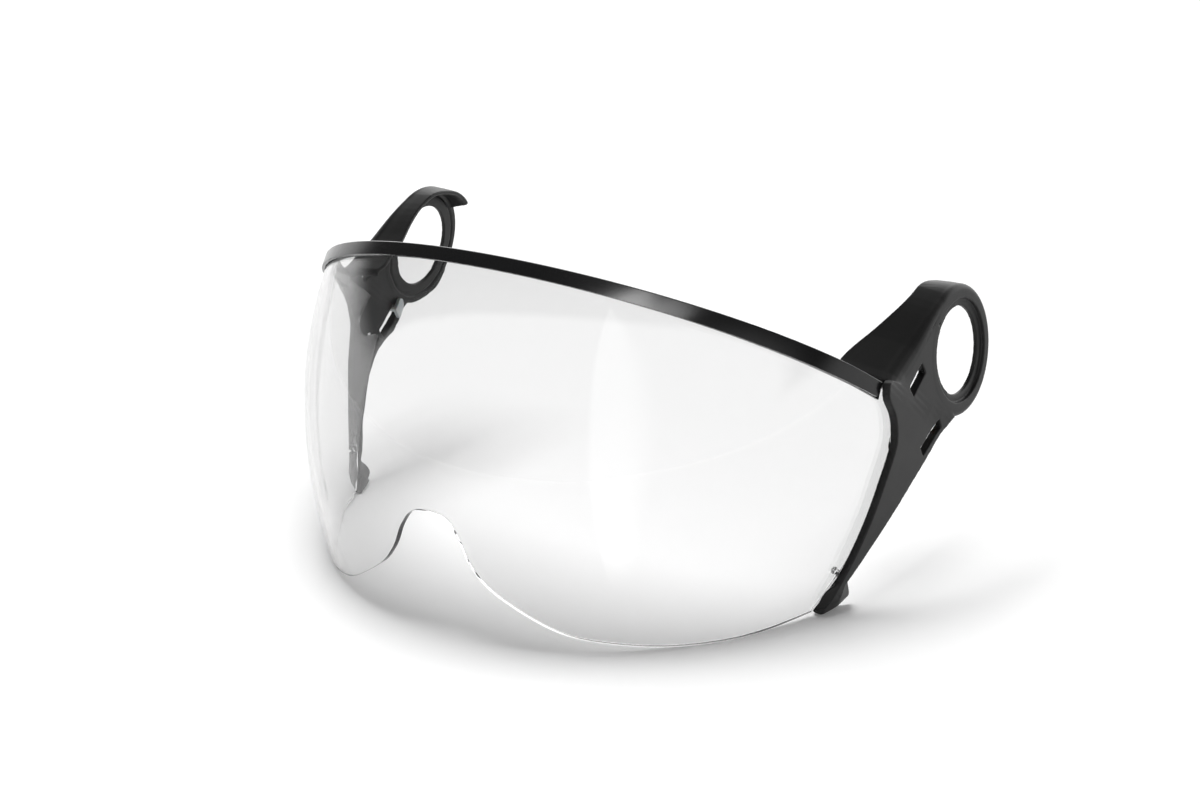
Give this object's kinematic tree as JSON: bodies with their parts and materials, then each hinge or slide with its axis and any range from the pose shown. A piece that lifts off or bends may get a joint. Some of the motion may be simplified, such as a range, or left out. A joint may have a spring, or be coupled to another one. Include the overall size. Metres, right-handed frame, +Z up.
{
  "type": "flip-up face visor for a helmet",
  "caption": "Clear wrap-around face visor with a nose notch, a brow strip and side arms that end in open rings turning on a helmet's side hubs.",
  "frame": {"origin": "middle of the box's bottom face, on the floor that the visor is put down on", "axes": "+X to the wearer's left, along the line through the two rings; -Y to the front of the lens; +Z up from the floor, with the visor tipped back by 36 degrees from the way it is worn"},
  "size_m": [0.2144, 0.158, 0.1079],
  "materials": {
    "lens": "clear, polished",
    "strip": "satin black",
    "arm": "satin black, fine moulded grain",
    "clip": "natural white",
    "stud": "clear, polished"
  },
  "bodies": {
    "root": {"lens": "lens", "brow_strip": "strip", "left_arm": "arm", "right_arm": "arm", "left_slot_clip": "clip", "right_slot_clip": "clip", "left_lens_stud": "stud", "right_lens_stud": "stud"}
  },
  "joints": []
}
